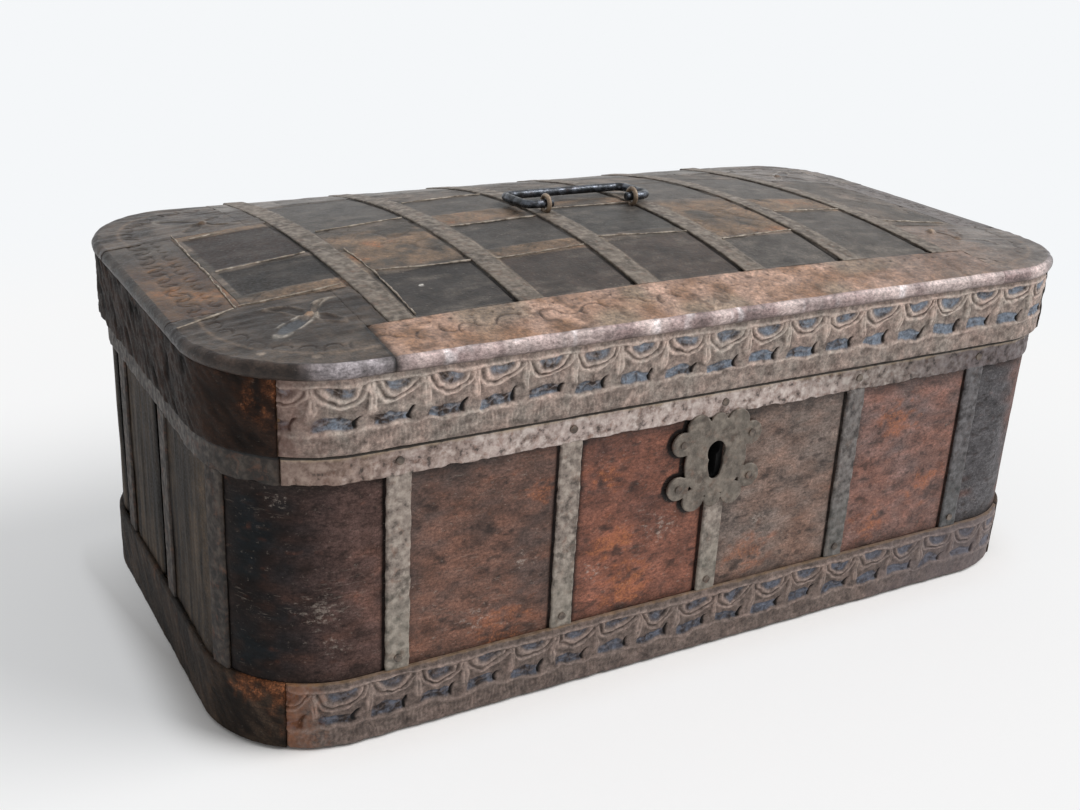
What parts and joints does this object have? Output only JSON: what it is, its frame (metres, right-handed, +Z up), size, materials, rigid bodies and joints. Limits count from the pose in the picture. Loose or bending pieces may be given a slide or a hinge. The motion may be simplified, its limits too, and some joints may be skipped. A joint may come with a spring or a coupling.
{
  "type": "coffer chest",
  "caption": "Low wooden coffer with round corners, skinned in leather and bound with iron strips, with a hinged domed lid, a bail handle and a lock.",
  "frame": {"origin": "on the floor, at the middle of the case's length and width", "axes": "+X to the right as seen from the front, along the case's length; +Y from the front with the keyhole to the back with the hinges; +Z up"},
  "size_m": [0.5124, 0.2834, 0.2191],
  "materials": {
    "softwood": "aged sawn pine",
    "front_hide": "worn red brown hide, scuffed",
    "end_hide": "dark cracked hide, grey with age",
    "embossed_leather": "embossed running ornament, blue grey paint in its recesses",
    "tooled_border": "blind tooled scrolls, coppery",
    "corner_leather": "dark tooled hide, polished at its folded edge",
    "lid_field_leather": "dark tooled panels with thin pale lines",
    "strip_iron": "hammered and mottled",
    "strap_iron": "hammered, worn bright on one edge",
    "rim_iron": "pitted, dull grey tan",
    "handle_iron": "forged, rubbed smooth",
    "escutcheon_iron": "filed plate, dull brown",
    "lock_iron": "forged, dark",
    "nail_iron": "hammered round heads"
  },
  "bodies": {
    "case": {"back_board": "softwood", "back_leather": "end_hide", "back_left_post": "softwood", "back_right_post": "softwood", "base_band_front": "embossed_leather", "base_band_round": "embossed_leather", "bolt_spring": "lock_iron", "bottom_board": "softwood", "case_nails": "nail_iron", "escutcheon": "escutcheon_iron", "front_board": "softwood", "front_leather_1": "front_hide", "front_leather_2": "front_hide", "front_leather_3": "front_hide", "front_leather_4": "front_hide", "front_left_corner_leather": "end_hide", "front_left_post": "softwood", "front_right_corner_leather": "end_hide", "front_right_post": "softwood", "front_strip_1": "strip_iron", "front_strip_2": "strip_iron", "front_strip_3": "strip_iron", "front_strip_4": "strip_iron", "front_strip_5": "strip_iron", "hinge_leaves": "strap_iron", "hinge_pins": "strap_iron", "left_end_board": "softwood", "left_end_leather": "end_hide", "lock_case": "lock_iron", "right_end_board": "softwood", "right_end_leather": "end_hide", "rim_band_front": "rim_iron", "rim_band_round": "rim_iron", "side_strips": "strip_iron"},
    "lid": {"back_border": "tooled_border", "corner_mounts": "corner_leather", "field_leather": "lid_field_leather", "front_border": "tooled_border", "handle_staples": "handle_iron", "left_border": "tooled_border", "lid_back_rail": "softwood", "lid_band_front": "embossed_leather", "lid_band_round": "embossed_leather", "lid_corner_blocks": "softwood", "lid_front_rail": "softwood", "lid_left_rail": "softwood", "lid_right_rail": "softwood", "lid_staple": "lock_iron", "lid_strap_1": "strap_iron", "lid_strap_2": "strap_iron", "lid_strap_3": "strap_iron", "lid_strap_4": "strap_iron", "lid_strap_5": "strap_iron", "lid_strap_6": "strap_iron", "lid_top_board": "softwood", "right_border": "tooled_border"},
    "bail": {"bail": "handle_iron"},
    "bolt": {"bolt": "lock_iron"}
  },
  "joints": [
    {"name": "lid_hinge", "type": "hinge", "parent": "case", "child": "lid", "pos_m": [0, 0.1417, 0.1492], "axis": [-1, 0, 0], "range_deg": [0, 105]},
    {"name": "bail_swing", "type": "hinge", "parent": "lid", "child": "bail", "pos_m": [-0.0035, 0, 0.2136], "axis": [1, 0, 0], "range_deg": [0, 186]},
    {"name": "bolt_slide", "type": "slide", "parent": "case", "child": "bolt", "axis": [1, 0, 0], "range_m": [0, 0.012]}
  ]
}
